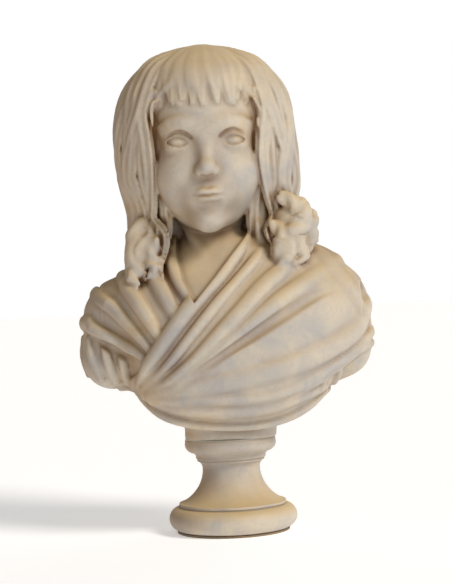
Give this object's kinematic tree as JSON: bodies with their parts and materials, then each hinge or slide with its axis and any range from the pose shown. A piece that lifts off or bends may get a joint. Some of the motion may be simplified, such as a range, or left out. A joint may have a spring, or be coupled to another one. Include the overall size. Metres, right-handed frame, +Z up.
{
  "type": "marble bust",
  "caption": "Marble head and shoulders of a child with long hair and a fringe, wrapped in a mantle, on a waisted round socle held by a hidden tie rod.",
  "frame": {"origin": "middle of the felt's underside, which is the face that the bust stands on", "axes": "+Z up; the sitter looks along -Y; +X is on the right of someone who faces the bust"},
  "size_m": [0.3063, 0.1938, 0.5005],
  "materials": {
    "marble": "satin",
    "lime_mortar": "matte",
    "zinc_plated_steel": "satin",
    "polyester_grout": "matte",
    "rubber": "matte",
    "brown_felt": "matte"
  },
  "bodies": {
    "root": {"bust_carving": "marble", "socle_cap": "marble", "socle_shaft": "marble", "socle_foot": "marble", "figure_bed": "lime_mortar", "cap_bed": "lime_mortar", "foot_bed": "lime_mortar", "tie_rod": "zinc_plated_steel", "rod_grout": "polyester_grout", "rubber_washer": "rubber", "steel_washer": "zinc_plated_steel", "rod_nut": "zinc_plated_steel", "felt_pad": "brown_felt"}
  },
  "joints": []
}
